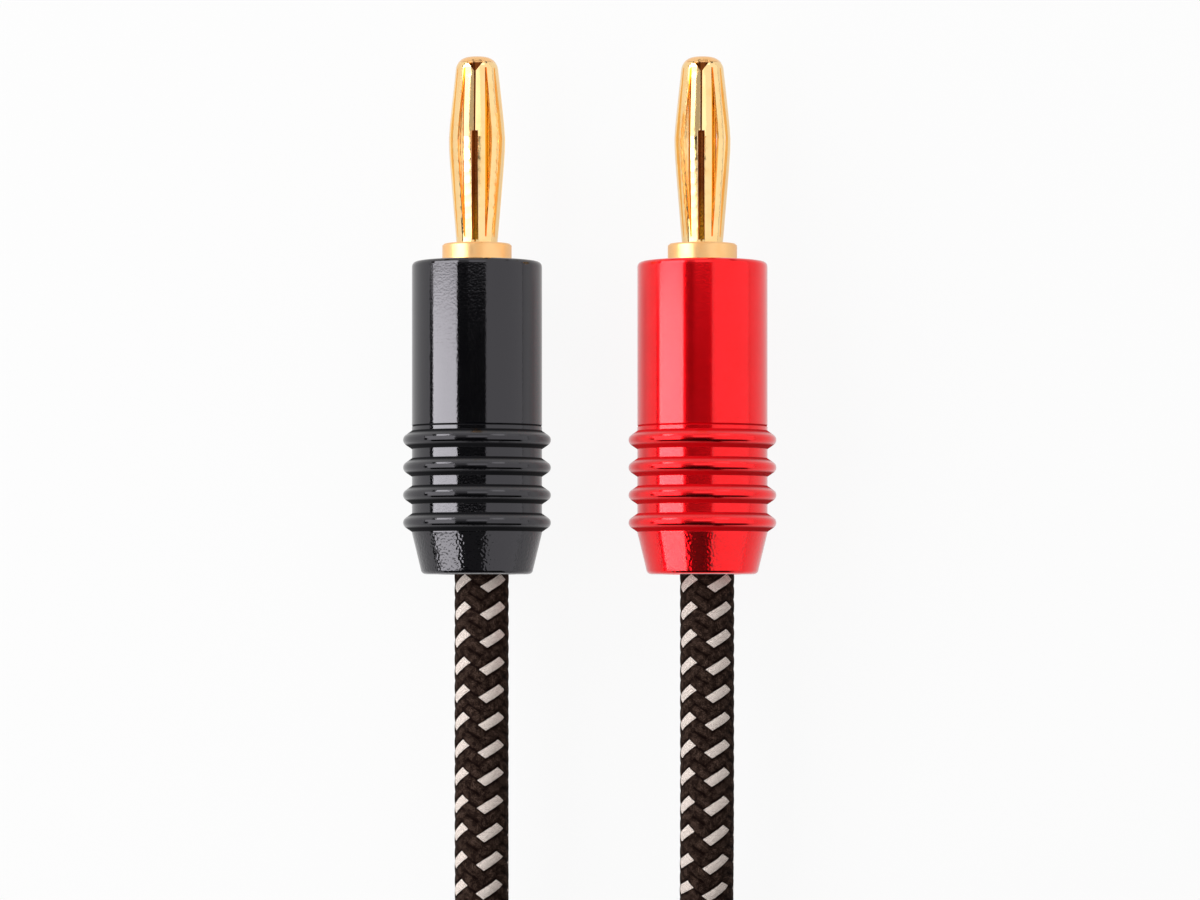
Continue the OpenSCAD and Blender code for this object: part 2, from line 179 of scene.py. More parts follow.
class Graph:
    """The node tree of one material, with one Principled shader."""

    def __init__(self, name: str) -> None:
        """Makes a material.

        Args:
            name: The material's name.
        """
        self.material = bpy.data.materials.new(name)
        self.material.use_nodes = True
        self.tree = self.material.node_tree
        self.tree.nodes.clear()
        output = self.tree.nodes.new("ShaderNodeOutputMaterial")
        self.shader = self.tree.nodes.new("ShaderNodeBsdfPrincipled")
        self.tree.links.new(self.shader.outputs[0], output.inputs[0])

    @classmethod
    def of_world(cls, world: bpy.types.World) -> "Graph":
        """Takes hold of a world's own node tree, whose background stays."""
        graph = cls.__new__(cls)
        world.use_nodes = True
        graph.tree = world.node_tree
        return graph

    def seen(self, straight: Number, mirrored: Number = 0.0) -> Value:
        """A factor for what the camera sees, which is 0 for all other light.

        Args:
            straight: The factor for what it sees straight.
            mirrored: The factor for what it sees in or through a polished surface.

        Returns:
            The factor.
        """
        camera = self.node("ShaderNodeLightPath", {}, {}, "Is Camera Ray")
        outs = camera.socket.node.outputs
        bent = Value(self, outs["Is Glossy Ray"]).most(Value(self, outs["Is Transmission Ray"]))
        return camera * straight + bent * mirrored

    def cover(self, factor: Value, kind: str, inputs: dict[int | str, Any]) -> None:
        """Mixes a second shader over the first.

        Args:
            factor: 0 for the first alone, 1 for the second alone.
            kind: The second shader's node type.
            inputs: A number or colour for each of its sockets that is set.
        """
        output = self.tree.nodes["Material Output"].inputs[0]
        first = Value(self, self.shader.outputs[0])
        second = self.node(kind, {}, inputs)
        mixed = self.node("ShaderNodeMixShader", {}, {0: factor, 1: first, 2: second})
        self.tree.links.new(mixed.socket, output)

    def node(
        self, kind: str, settings: dict[str, Any], inputs: dict[int | str, Any], out: int | str = 0
    ) -> Value:
        """Adds a node.

        Args:
            kind: The node's type.
            settings: Its settings, set before its sockets.
            inputs: A number, colour or value for each socket, by name or place.
            out: The output socket to return.

        Returns:
            The node's output.
        """
        made = self.tree.nodes.new(kind)
        for key, value in settings.items():
            setattr(made, key, value)
        for key, value in inputs.items():
            if isinstance(value, Value):
                self.tree.links.new(value.socket, made.inputs[key])
            else:
                made.inputs[key].default_value = value
        return Value(self, made.outputs[out])

    def split(self, vector: Value) -> tuple[Value, Value, Value]:
        """The three parts of a vector."""
        first = self.node("ShaderNodeSeparateXYZ", {}, {0: vector})
        outs = first.socket.node.outputs
        return first, Value(self, outs[1]), Value(self, outs[2])

    def joined(self, x: Value | Number, y: Value | Number, z: Value | Number) -> Value:
        """A vector of three values."""
        return self.node("ShaderNodeCombineXYZ", {}, {0: x, 1: y, 2: z})

    def place(self) -> Value:
        """The point on the surface, in metres in the row frame."""
        return self.node("ShaderNodeTexCoord", {}, {}, "Object")

    def uv(self) -> tuple[Value, Value]:
        """The two surface coordinates that a mesh was given."""
        u, v, _ = self.split(self.node("ShaderNodeUVMap", {"uv_map": "UVMap"}, {}))
        return u, v

    def noise(self, at: Value, scale: Number, detail: Number = 2.0) -> Value:
        """Smooth noise from 0 to 1.

        Args:
            at: The point to take it at.
            scale: How many features there are to a metre.
            detail: How many finer layers are added.

        Returns:
            The noise.
        """
        return self.node("ShaderNodeTexNoise", {}, {"Vector": at, "Scale": scale, "Detail": detail})

    def mix(self, factor: Value | Number, first: Colour | Value, second: Colour | Value) -> Value:
        """A colour between two colours.

        Args:
            factor: 0 for the first, 1 for the second.
            first: The colour at 0.
            second: The colour at 1.

        Returns:
            The mixed colour.
        """
        colours = [(*c, 1.0) if isinstance(c, tuple) else c for c in (first, second)]
        return self.node(
            "ShaderNodeMix", {"data_type": "RGBA"}, {0: factor, 6: colours[0], 7: colours[1]}, 2
        )

    def bump(self, height: Value, depth: Number) -> Value:
        """A normal that follows a height.

        Args:
            height: The height, from 0 to 1.
            depth: What a height of 1 is, in metres.

        Returns:
            The normal.
        """
        inputs = {"Height": height, "Distance": depth, "Strength": 1.0}
        return self.node("ShaderNodeBump", {}, inputs)

    def finish(self, **sockets: Any) -> bpy.types.Material:
        """Sets the shader's sockets.

        Args:
            sockets: A number, colour or value for each socket, with _ for a space.

        Returns:
            The finished material.
        """
        for key, value in sockets.items():
            socket = self.shader.inputs[key.replace("_", " ")]
            if isinstance(value, Value):
                self.tree.links.new(value.socket, socket)
            elif isinstance(value, tuple):
                socket.default_value = (*value, 1.0)
            else:
                socket.default_value = value
        return self.material


# Finishes


@dataclass(frozen=True)
class Gold:
    """Gold plating over turned brass or rolled sheet.

    Between the two distances deep_from and deep_to from the middle of the pair, on the core under
    the spring, the colour is deep, a deeper orange that is painted reflection for light bounced
    between the core and the leaves. Under the near springs' seams, which are over their plugs'
    axes, it goes to a painted shade, which clears by seam_clear from seam_full to the collar. From
    collar_from to deep_from it is turned, and so less of a mirror.
    """

    name: str
    colour: Colour = (1.0, 0.595, 0.26)
    worn: Colour = (1.0, 0.55, 0.22)
    # deep: painted reflection, a deeper orange for light bounced between the core and the leaves.
    deep: Colour = (0.94, 0.40, 0.022)
    # Painted shade under the near springs' seams.
    painted_seam_shade: Colour = (0.14, 0.036, 0.007)
    axis: float = 0.009525
    seam_half: float = 0.0005
    seam_full: float = 0.0700
    seam_clear: float = 0.5
    collar_from: float = 1.0
    deep_from: float = 1.0
    deep_to: float = 2.0
    rough: float = 0.11
    line_rough: float = 0.03
    turned_rough: float = 0.22
    drawn: float = 0.25
    stretch: float = 0.04
    cloud_scale: float = 900
    line_scale: float = 14000
    speck_scale: float = 5200
    turned_scale: float = 9000
    depth: float = 0.000004

    def make(self) -> bpy.types.Material:
        """Builds the plating, with fine lines along Y where the sheet was drawn."""
        g = Graph(self.name)
        at = g.place()
        x, y, z = g.split(at)
        out = abs(y)
        under = (out > self.deep_from) * (out < self.deep_to)
        collar = (out > self.collar_from) * (out < self.deep_from)
        off_seam = abs(abs(x) - self.axis)
        # Painted shade along the near springs' seams, clearing towards the collar.
        seam_shade_mask = off_seam.ramp(self.seam_half * 0.8, self.seam_half * 1.2, 1.0, 0.0)
        seam_shade_mask *= out.ramp(self.deep_from, self.seam_full, 1 - self.seam_clear, 1.0)
        cloud = g.noise(at, self.cloud_scale, 3)
        lines = g.noise(g.joined(x, y * self.stretch, z), self.line_scale, 1)
        speck = g.noise(at, self.speck_scale)
        turned = g.noise(g.joined(0.0, y, 0.0), self.turned_scale)
        bright = g.mix(cloud.ramp(0.4, 0.75), self.colour, self.worn)
        rough = cloud.ramp(0.35, 0.7, self.rough * 0.8, self.rough * 1.3)
        drawn = lines * self.drawn + speck * (1 - self.drawn)
        return g.finish(
            Base_Color=g.mix(under, bright, g.mix(seam_shade_mask, self.deep, self.painted_seam_shade)),
            Metallic=1.0,
            Roughness=rough + lines * self.line_rough + collar * self.turned_rough,
            Normal=g.bump(drawn * (1 - collar) + turned * collar, self.depth),
        )


@dataclass(frozen=True)
class Anodised:
    """Satin anodised aluminium: a tinted metal under a clear, finely grained layer.

    The grip rings' flanks and the fine groove get the dull root colour, a painted shade that stands
    in for the rings shading each other and hiding each other's reflections. Their crests stand at
    ring_first and every ring_pitch on, and the pebbled tail ends at tail_end, all measured from the
    middle of the pair. The painted shade comes in over ahead and behind, counted from a crest, and
    ends at the foot.
    """

    name: str
    colour: Colour
    deep: Colour
    metal: float
    rough: float
    turned_rough: float = 0.04
    ior: float = 1.5
    tint: Colour = (1.0, 1.0, 1.0)
    coat: float = 0.0
    coat_rough: float = 0.09
    coat_ior: float = 1.45
    # root: painted shade for the ring flanks and the fine groove.
    root: Colour = (0.002, 0.002, 0.003)
    flank_shade_cover: float = 0.92
    flank_shade_rough: float = 0.5
    ring_first: float = 0.041355
    ring_pitch: float = 0.00233
    rings: int = 4
    ahead: tuple[float, float] = (0.00038, 0.00066)
    behind: tuple[float, float] = (0.00030, 0.00050)
    foot: tuple[float, float] = (0.00075, 0.00082)
    groove: float = 0.049515
    groove_half: tuple[float, float] = (0.00006, 0.00010)
    tail_from: float = 0.0402
    tail_end: float = 0.0406
    pebble: float = 6
    pebble_scale: float = 4600
    turning: float = 0.1
    turning_scale: float = 16000
    grain_scale: float = 5600
    cloud_scale: float = 420
    depth: float = 0.0000045

    def painted_flank_shade(self, out: Value) -> Value:
        """Where the flanks of the grip rings are.

        Args:
            out: Distance from the middle of the pair along Y.

        Returns:
            1 low on the flanks and in the fine groove, where the shade is painted, and 0 elsewhere.
        """

        def flank(away: Value, reach: tuple[float, float]) -> Value:
            """One flank of every ring, at a distance from the crest."""
            return away.ramp(*reach) * away.ramp(*self.foot, 1.0, 0.0)

        step = (out - self.ring_first) / self.ring_pitch
        off = ((step + 0.5) % 1.0 - 0.5) * self.ring_pitch
        flanks = flank(off, self.ahead).most(flank(0.0 - off, self.behind))
        on_rings = (step > -0.45) * (step < self.rings - 0.55)
        return (flanks * on_rings).most(abs(out - self.groove).ramp(*self.groove_half, 1.0, 0.0))

    def make(self) -> bpy.types.Material:
        """Builds the finish, with turning lines round the shell and a fine grain."""
        g = Graph(self.name)
        at = g.place()
        _, y, _ = g.split(at)
        out = abs(y)
        turning = g.noise(g.joined(0.0, y, 0.0), self.turning_scale)
        grain = g.noise(at, self.grain_scale)
        cloud = g.noise(at, self.cloud_scale, 3)
        tail = out.ramp(self.tail_from, self.tail_end, 1.0, 0.0)
        pebble = g.noise(at, self.pebble_scale, 0) * tail * self.pebble
        height = grain * (1 - self.turning) + turning * self.turning + pebble
        # Painted shade: a dull, unreflecting dark shader mixed over the ring flanks and the fine
        # groove.
        g.cover(
            self.painted_flank_shade(out) * self.flank_shade_cover,
            "ShaderNodeBsdfPrincipled",
            {
                "Base Color": (*self.root, 1.0),
                "Roughness": self.flank_shade_rough,
                "Specular IOR Level": 0.0,
            },
        )
        tone = (cloud.ramp(0.3, 0.7) * 0.6 + grain.ramp(0.3, 0.7) * 0.4).ramp(0.0, 1.0)
        return g.finish(
            Base_Color=g.mix(tone, self.colour, self.deep),
            Metallic=self.metal,
            Roughness=self.rough + turning.ramp(0.3, 0.7) * self.turned_rough,
            IOR=self.ior,
            Specular_Tint=self.tint,
            Coat_Weight=self.coat,
            Coat_Roughness=self.coat_rough,
            Coat_IOR=self.coat_ior,
            Normal=g.bump(height, self.depth),
        )


@dataclass(frozen=True)
class Moulded:
    """Plain moulded plastic or rubber with a fine grain."""

    name: str
    colour: Colour
    shade: Colour
    rough: float
    grain_scale: float = 6000
    cloud_scale: float = 500
    depth: float = 0.00002

    def make(self) -> bpy.types.Material:
        """Builds the finish."""
        g = Graph(self.name)
        at = g.place()
        grain = g.noise(at, self.grain_scale, 3)
        cloud = g.noise(at, self.cloud_scale)
        return g.finish(
            Base_Color=g.mix(cloud.ramp(0.3, 0.7), self.colour, self.shade),
            Roughness=grain.ramp(0.2, 0.8, self.rough - 0.06, self.rough + 0.08),
            Normal=g.bump(grain, self.depth),
        )


@dataclass(frozen=True)
class Machined:
    """Plain machined steel with lines round its axis."""

    name: str = "machined_steel"
    colour: Colour = (0.52, 0.52, 0.54)
    dull: Colour = (0.36, 0.35, 0.35)
    line_scale: float = 20000
    cloud_scale: float = 2500
    depth: float = 0.00001

    def make(self) -> bpy.types.Material:
        """Builds the finish."""
        g = Graph(self.name)
        at = g.place()
        _, _, z = g.split(at)
        lines = g.noise(g.joined(0.0, 0.0, z), self.line_scale)
        cloud = g.noise(at, self.cloud_scale, 3)
        return g.finish(
            Base_Color=g.mix(cloud.ramp(0.35, 0.7), self.colour, self.dull),
            Metallic=1.0,
            Roughness=lines.ramp(0.3, 0.7, 0.26, 0.4),
            Normal=g.bump(lines, self.depth),
        )


@dataclass(frozen=True)
class Stranded:
    """Bare copper strands laid side by side with a slight twist."""

    name: str = "stranded_copper"
    colour: Colour = (0.82, 0.38, 0.2)
    dull: Colour = (0.5, 0.2, 0.1)
    strands_per_metre: float = 3600
    twist: float = 0.35
    slope: float = 0.4
    cloud_scale: float = 1800
    depth: float = 0.00008

    def make(self) -> bpy.types.Material:
        """Builds the finish."""
        g = Graph(self.name)
        at = g.place()
        x, y, z = g.split(at)
        across = (x + y * self.twist + z * self.slope) * self.strands_per_metre
        ridge = abs((across % 1.0) * 2.0 - 1.0)
        cloud = g.noise(at, self.cloud_scale, 3)
        return g.finish(
            Base_Color=g.mix(cloud.ramp(0.35, 0.7), self.colour, self.dull),
            Metallic=1.0,
            Roughness=cloud.ramp(0.3, 0.7, 0.22, 0.36),
            Normal=g.bump(1.0 - ridge * ridge, self.depth),
        )


@dataclass(frozen=True)
class Webbing:
    """Woven strap."""

    name: str = "woven_strap"
    low: Colour = (0.005, 0.005, 0.006)
    high: Colour = (0.055, 0.055, 0.060)
    threads_per_metre: float = 1500
    fuzz_scale: float = 5200
    fuzz: float = 0.3
    depth: float = 0.00018

    def make(self) -> bpy.types.Material:
        """Builds the weave from the strap's own coordinates, which are in metres."""
        g = Graph(self.name)
        u, v = g.uv()
        warp = (u * self.threads_per_metre * 2 * math.pi).sine()
        weft = (v * self.threads_per_metre * 2 * math.pi).sine()
        fuzz = g.noise(g.joined(u, v, 0.0), self.fuzz_scale, 3)
        height = (warp * weft * 0.5 + 0.5) * (1 - self.fuzz) + fuzz * self.fuzz
        return g.finish(
            # Painted shade: the colour is darker where the weave lies low, in its hollows, and
            # varies with the fuzz.
            Base_Color=g.mix(height.ramp(0.2, 0.8), self.low, self.high),
            Roughness=fuzz.ramp(0.3, 0.7, 0.75, 0.95),
            Normal=g.bump(height, self.depth),
        )


Height = TypeVar("Height", np.ndarray, Value)


@dataclass(frozen=True)
class Weave:
    """A braid of sixteen strands, each over two and under two of those that cross it.

    A point on the lead has two strand numbers: a counts the strands that rise to the right as
    seen with the plug up, and b those that rise to the left. The braid is drawn together by skew
    of a turn on the side away from skew_from, in radians, and turns by drift a millimetre.
    """

    strands: int = 8
    lay: float = 9.3
    wave: float = 0.035
    crown: float = 0.065
    flat: float = 2.6
    drift: float = 0.00123
    drift_until: float = 70.0
    skew: float = 0.050
    skew_from: float = 0.75
    start: float = 9.97

    def coordinates(self, angle: np.ndarray, along: np.ndarray) -> tuple[np.ndarray, np.ndarray]:
        """Surface coordinates of points on the lead.

        Args:
            angle: The angle round the lead, in radians.
            along: The distance along it, in millimetres.

        Returns:
            Turns round the lead, and turns of lay along it.
        """
        drawn = self.skew * (1 - np.cos(angle - self.skew_from)) / 2
        turned = self.drift * np.minimum(along, self.drift_until)
        return angle / (2 * math.pi) - drawn + turned, (along - self.start) / self.lay

    def strand(self, across: Height, swing: Height) -> Height:
        """Height of one strand over the braid's middle.

        Args:
            across: Where it is across the strand, from 0 to 1.
            swing: How high the strand's wave is there, from -1 to 1.

        Returns:
            The height, in millimetres.
        """
        return swing * self.wave + (1 - abs(across * 2 - 1) ** self.flat) * self.crown

    def height(self, u: np.ndarray, v: np.ndarray) -> np.ndarray:
        """Height of whichever strand is on top.

        Args:
            u: Turns round the lead.
            v: Turns of lay along it.

        Returns:
            The height, in millimetres.
        """
        a, b = self.strands * (u + v), self.strands * (u - v)
        whole_a, whole_b = np.floor(a), np.floor(b)
        rising = self.strand(a - whole_a, np.sin(math.pi / 2 * (whole_a + b)))
        falling = self.strand(b - whole_b, np.sin(math.pi / 2 * (a + whole_b + 2)))
        return np.maximum(rising, falling)


@dataclass(frozen=True)
class Braid:
    """The braided sleeve's colours: white yarn in every other rising strand, the rest black.

    White yarn shows in crisp lozenges, half_wide strands to each side of its middle and
    half_long strands that cross it to each end. They lie lean flatter than the strand. Noise is
    taken in millimetres on the sleeve, which is girth round.
    """

    weave: Weave
    name: str = "braided_sleeve"
    white: Colour = (0.78, 0.70, 0.65)
    grey: Colour = (0.24, 0.19, 0.165)
    black: Colour = (0.003, 0.0006, 0.0002)
    brown: Colour = (0.095, 0.060, 0.046)
    girth: float = 14.4
    fibres: float = 7.0
    wander: float = 1.6
    ragged: float = 0.08
    half_wide: float = 0.42
    half_long: float = 1.02
    lean: float = 0.08
    specular: float = 0.03
    depth: float = 0.00012

    def make(self) -> bpy.types.Material:
        """Builds the braid from the lead's surface coordinates."""
        g = Graph(self.name)
        w = self.weave
        u, v = g.uv()
        a, b = (u + v) * w.strands, (u - v) * w.strands
        whole_a, whole_b = a.floor(), b.floor()
        across_a, across_b = a - whole_a, b - whole_b
        rising = w.strand(across_a, ((whole_a + b) * (math.pi / 2)).sine())
        falling = w.strand(across_b, ((whole_b + a + 2) * (math.pi / 2)).sine())
        top = rising.most(falling)
        on_top = (rising - falling).ramp(-0.006, 0.006)
        at = g.joined(u * self.girth, v * w.lay, 0.0)
        ragged = (g.noise(at, 5.0) - 0.5) * self.ragged
        phase = (whole_a + b) % 4.0 - 1.0
        sideways = abs(across_a - 0.5 - phase * self.lean) + ragged
        endways = abs(phase) + ragged
        white = (
            ((whole_a * 0.5) % 1.0 < 0.25)
            * sideways.ramp(self.half_wide - 0.02, self.half_wide + 0.02, 1.0, 0.0)
            * endways.ramp(self.half_long - 0.03, self.half_long + 0.03, 1.0, 0.0)
        )
        wander = g.noise(at, 1.6) * self.wander
        fibres = [
            ((across * self.fibres + wander) * (2 * math.pi)).sine()
            for across in (across_a, across_b)
        ]
        fibre = (fibres[0] * on_top + fibres[1] * (1 - on_top)) * 0.5 + 0.5
        fuzz = g.noise(at, 9.0, 3)
        # Painted shade: lit darkens the black yarn where the strands lie low, between the
        # crossings.
        lit = top.ramp(w.crown * 0.3, w.crown * 1.4)
        speckle = fuzz.ramp(0.42, 0.62)
        blotch = g.noise(at, 1.8).ramp(0.35, 0.65, 0.2, 0.85)
        light = g.mix((fibre * 0.5 + speckle * 0.5).ramp(0.0, 0.8), self.grey, self.white)
        dark = g.mix((fibre * 0.3 + speckle * 0.7) * lit * blotch, self.black, self.brown)
        return g.finish(
            Base_Color=g.mix(white, dark, light),
            Roughness=fuzz.ramp(0.3, 0.7, 0.72, 0.9),
            Specular_IOR_Level=self.specular,
            Normal=g.bump(top * 4.0 + fibre * 0.10 + fuzz * 0.12, self.depth),
        )


# Leads, coil and strap


def link(name: str, verts: np.ndarray, faces: Sequence[Sequence[int]]) -> bpy.types.Object:
    """Makes a mesh object.

    Args:
        name: The object's name.
        verts: Its points, in millimetres.
        faces: The numbers of the points round each face.

    Returns:
        The object, linked to the scene.
    """
    mesh = bpy.data.meshes.new(name)
    mesh.from_pydata((np.asarray(verts) * MM).tolist(), [], [list(f) for f in faces])
    mesh.update()
    made = bpy.data.objects.new(name, mesh)
    bpy.context.scene.collection.objects.link(made)
    return made


def set_uv(made: bpy.types.Object, corner_uv: np.ndarray) -> None:
    """Gives a mesh its surface coordinates.

    Args:
        made: The object.
        corner_uv: Two numbers for each face corner.
    """
    layer = made.data.uv_layers.new(name="UVMap")
    layer.data.foreach_set("uv", np.asarray(corner_uv, dtype=np.float32).ravel())


def smooth_shade(made: bpy.types.Object) -> None:
    """Shades a mesh smoothly."""
    made.data.polygons.foreach_set("use_smooth", [True] * len(made.data.polygons))


def eased(t: float) -> float:
    """A smooth step from 0 to 1 with a gentle start and end."""
    t = min(1.0, max(0.0, t))
    return t * t * (3 - 2 * t)


def track(base: float, steps: Sequence[tuple[float, float, float]]) -> Callable[[float], float]:
    """A value that moves from level to level as a coil is wound.

    Args:
        base: The first level.
        steps: For each move, the angles between which it happens and the next level.

    Returns:
        The level at an angle, in degrees.
    """

    def at(angle: float) -> float:
        """The level at one angle."""
        level = base
        for start, stop, after in steps:
            if angle <= start:
                break
            level += (after - level) * eased((angle - start) / (stop - start))
        return level

    return at


@dataclass(frozen=True)
class Coil:
    """The round coil that both leads are wound into, side by side.

    Its turns rise by tie_lift where they cross the strap, within lift_half degrees of tie_angle.
    """

    centre: tuple[float, float] = (20.0, -35.0)
    middle: float = 27.0
    pitch: float = 4.72
    lead: float = 4.6
    step: float = 2.5
    tie_angle: float = 300.0
    tie_lift: float = 0.9
    lift_half: float = 26.0
    lift_ease: float = 15.6

    def radius(self, column: int) -> float:
        """Radius of one of the four columns of turns, counted from the inside."""
        return self.middle + (column - 1.5) * self.pitch

    def level(self, layer: int) -> float:
        """Height of the centre of one layer of turns."""
        return (layer + 0.5) * self.lead

    def wound(
        self,
        start: float,
        stop: float,
        columns: tuple[int, Sequence[tuple[float, float, int]]],
        layers: Sequence[tuple[float, float]],
    ) -> list[Point]:
        """Points along the turns of one lead.

        Args:
            start: The angle where the lead joins the coil, in degrees.
            stop: The angle where it leaves, whole turns included.
            columns: The first column and the moves to other columns.
            layers: The angles of each climb to the next layer.

        Returns:
            The points, in millimetres.
        """
        radius = track(self.radius(columns[0]), [(a, b, self.radius(c)) for a, b, c in columns[1]])
        climbs = [(a, b, self.level(i + 1)) for i, (a, b) in enumerate(layers)]
        height = track(self.level(0), climbs)
        points = []
        for angle in np.arange(start, stop, self.step):
            off = abs((angle - self.tie_angle + 180) % 360 - 180)
            lift = self.tie_lift * eased((self.lift_half - off) / self.lift_ease)
            turn = math.radians(angle)
            points.append(
                (
                    self.centre[0] + radius(angle) * math.cos(turn),
                    self.centre[1] + radius(angle) * math.sin(turn),
                    height(angle) + lift,
                )
            )
        return points


@dataclass(frozen=True)
class Centreline:
    """A lead's centreline, smoothed from the points that it passes through."""

    points: tuple[Point, ...]
    grain: float = 0.4
    soften: float = 1.8

    def curve(self) -> np.ndarray:
        """Points of the smooth line at even distances.

        Returns:
            One row for each point, in millimetres.
        """
        p = np.array(self.points, dtype=float)
        span = np.linalg.norm(np.diff(p, axis=0), axis=1)
        t = np.concatenate([[0.0], np.cumsum(span)])
        slopes = np.diff(p, axis=0) / span[:, None]
        tangent = np.zeros_like(p)
        before, after = slopes[:-1], slopes[1:]
        same = before * after > 0
        weight_a = (2 * span[1:] + span[:-1])[:, None]
        weight_b = (span[1:] + 2 * span[:-1])[:, None]
        with np.errstate(divide="ignore", invalid="ignore"):
            mean = (weight_a + weight_b) / (weight_a / before + weight_b / after)
        tangent[1:-1] = np.where(same, mean, 0.0)
        tangent[0], tangent[-1] = slopes[0], slopes[-1]
        where = np.arange(0.0, t[-1], self.grain)
        i = np.clip(np.searchsorted(t, where, side="right") - 1, 0, len(span) - 1)
        h = span[i][:, None]
        s = ((where - t[i]) / span[i])[:, None]
        line = (
            (2 * s**3 - 3 * s**2 + 1) * p[i]
            + (s**3 - 2 * s**2 + s) * h * tangent[i]
            + (3 * s**2 - 2 * s**3) * p[i + 1]
            + (s**3 - s**2) * h * tangent[i + 1]
        )
        reach = int(4 * self.soften / self.grain)
        kernel = np.exp(-0.5 * (np.arange(-reach, reach + 1) * self.grain / self.soften) ** 2)
        kernel /= kernel.sum()
        head = line[0] - (line[1:reach + 1][::-1] - line[0])
        tail = line[-1] + (line[-1] - line[-reach - 1:-1][::-1])
        wide = np.vstack([head, line, tail])
        return np.column_stack([np.convolve(wide[:, k], kernel, mode="valid") for k in range(3)])


@dataclass
class Lead:
    """One braided lead from its near plug through the coil to its far plug.

    Its mesh has the braid's relief up to fine_until, and beyond that plain_share of it. The length,
    in metres, is not used.
    """

    side: Side
    near: tuple[Point, ...]
    far: tuple[Point, ...]
    turns: tuple[float, float]
    columns: tuple[int, tuple[tuple[float, float, int], ...]]
    layers: tuple[tuple[float, float], ...]
    exit: Point
    coil: Coil = field(default_factory=Coil)
    weave: Weave = field(default_factory=Weave)
    diameter: float = 4.6
    length: float = 1.8
    fine_until: float = 66.0
    fine_step: float = 0.13
    fine_sides: int = 72
    plain_step: float = 1.15
    plain_sides: int = 28
    plain_share: float = 0.72
    path_every: int = 6

    def centreline(self) -> np.ndarray:
        """Points of the whole centreline at even distances."""
        start, stop = self.turns
        turns = self.coil.wound(start, stop, self.columns, self.layers)
        return Centreline(tuple(self.near) + tuple(turns) + tuple(self.far)).curve()

    @staticmethod
    def frames(line: np.ndarray) -> tuple[np.ndarray, np.ndarray, np.ndarray]:
        """Distance along a line and two directions across it that turn as little as they can.

        Args:
            line: The centreline's points.

        Returns:
            The distances, the first directions across, and the second.
        """
        ahead = np.gradient(line, axis=0)
        ahead /= np.linalg.norm(ahead, axis=1)[:, None]
        ups = np.zeros_like(line)
        up = np.array([0.0, 0.0, 1.0])
        for i, direction in enumerate(ahead):
            up = up - direction * up.dot(direction)
            up /= np.linalg.norm(up)
            ups[i] = up
        rights = np.cross(ups, ahead)
        along = np.concatenate([[0.0], np.cumsum(np.linalg.norm(np.diff(line, axis=0), axis=1))])
        return along, rights, ups

    def tube(
        self, line: np.ndarray, stations: np.ndarray, sides: int, relief: bool
    ) -> tuple[np.ndarray, np.ndarray, np.ndarray]:
        """Rings of points round a stretch of the lead.

        Args:
            line: The centreline's points.
            stations: Where the rings go, in millimetres along the lead.
            sides: How many points each ring has.
            relief: Whether the braid's height is in the mesh.

        Returns:
            The points, the faces and the surface coordinates of the faces' corners.
        """
        along, rights, ups = self.frames(line)

        def at(rows: np.ndarray) -> np.ndarray:
            """Rows taken between the line's points."""
            return np.column_stack([np.interp(stations, along, rows[:, k]) for k in range(3)])

        middle, right, up = at(line), at(rights), at(ups)
        angle = np.linspace(0.0, 2 * math.pi, sides + 1)
        ring, far = np.meshgrid(angle, stations)
        u, v = self.weave.coordinates(ring, far)
        top = self.weave.wave + self.weave.crown
        height = self.weave.height(u, v) if relief else np.full_like(u, top * self.plain_share)
        radius = (self.diameter / 2 - top + height)[:, :-1]
        across = np.sin(angle[:-1])[None, :, None] * right[:, None, :]
        upward = np.cos(angle[:-1])[None, :, None] * up[:, None, :]
        verts = middle[:, None, :] + radius[:, :, None] * (across + upward)
        rows, cols = np.meshgrid(np.arange(len(stations) - 1), np.arange(sides), indexing="ij")
        rows, cols = rows.ravel(), cols.ravel()
        after = (cols + 1) % sides
        faces = np.column_stack(
            [
                rows * sides + cols,
                (rows + 1) * sides + cols,
                (rows + 1) * sides + after,
                rows * sides + after,
            ]
        )
        corners = [(rows, cols), (rows + 1, cols), (rows + 1, cols + 1), (rows, cols + 1)]
        uv = np.stack([np.stack([u[c], v[c]], axis=-1) for c in corners], axis=1)
        return verts.reshape(-1, 3), faces, uv.reshape(-1, 2)

    def build(self, material: bpy.types.Material, hides: Iterable[str]) -> bpy.types.Object:
        """Args:
            material: The braid's material.
            hides: The CAD nodes that it stands for.

        Returns:
            The lead's object.
        """
        line = self.centreline()
        total = float(np.linalg.norm(np.diff(line, axis=0), axis=1).sum())
        fine = np.arange(0.0, self.fine_until, self.fine_step)
        plain = np.linspace(fine[-1], total, int((total - fine[-1]) / self.plain_step))
        parts = [
            self.tube(line, fine, self.fine_sides, True),
            self.tube(line, plain, self.plain_sides, False),
        ]
        offset, verts, faces, uvs = 0, [], [], []
        for points, quads, corner_uv in parts:
            verts.append(points)
            faces.append(quads + offset)
            uvs.append(corner_uv)
            offset += len(points)
        made = link(f"{self.side.value}_lead", np.vstack(verts), np.vstack(faces).tolist())
        set_uv(made, np.vstack(uvs))
        smooth_shade(made)
        made.data.materials.append(material)
        made.visible_glossy = False
        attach(made, "root")
        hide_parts(*hides)
        LOG.info("%s lead: %.0f mm long, %d faces", self.side.value, total, len(made.data.polygons))
        return made


